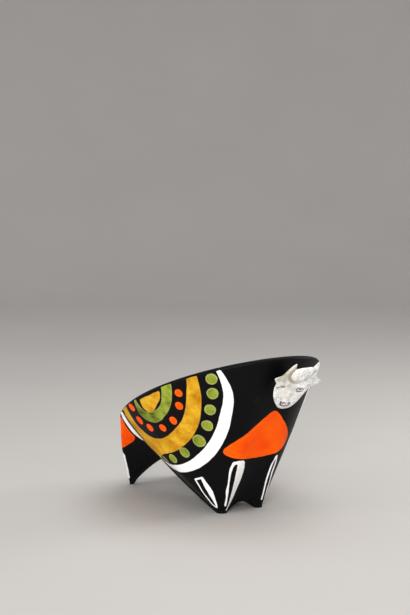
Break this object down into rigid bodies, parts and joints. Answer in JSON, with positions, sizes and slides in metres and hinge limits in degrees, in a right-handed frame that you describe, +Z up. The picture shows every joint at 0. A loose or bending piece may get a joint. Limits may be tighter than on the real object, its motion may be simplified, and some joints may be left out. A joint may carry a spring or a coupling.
{
  "type": "bull-shaped vase",
  "caption": "Hollow ceramic vase in the shape of a standing bull: a sloping oval mouth, legs pinched out of the wall and a small flat face on a short neck.",
  "frame": {"origin": "on the table, under the middle of the whole vase", "axes": "+X forward, the way the bull's face points; +Y the bull's left side; +Z up"},
  "size_m": [0.268, 0.1886, 0.1639],
  "materials": {
    "black_glaze": "satin",
    "cream_glaze": "gloss"
  },
  "bodies": {
    "root": {"vase_body": "black_glaze", "neck": "black_glaze", "face_plate": "cream_glaze", "ear_left": "cream_glaze", "ear_right": "cream_glaze", "horn_left": "cream_glaze", "horn_right": "cream_glaze", "eye_left": "cream_glaze", "eye_right": "cream_glaze", "forelock": "cream_glaze", "muzzle": "cream_glaze"}
  },
  "joints": []
}
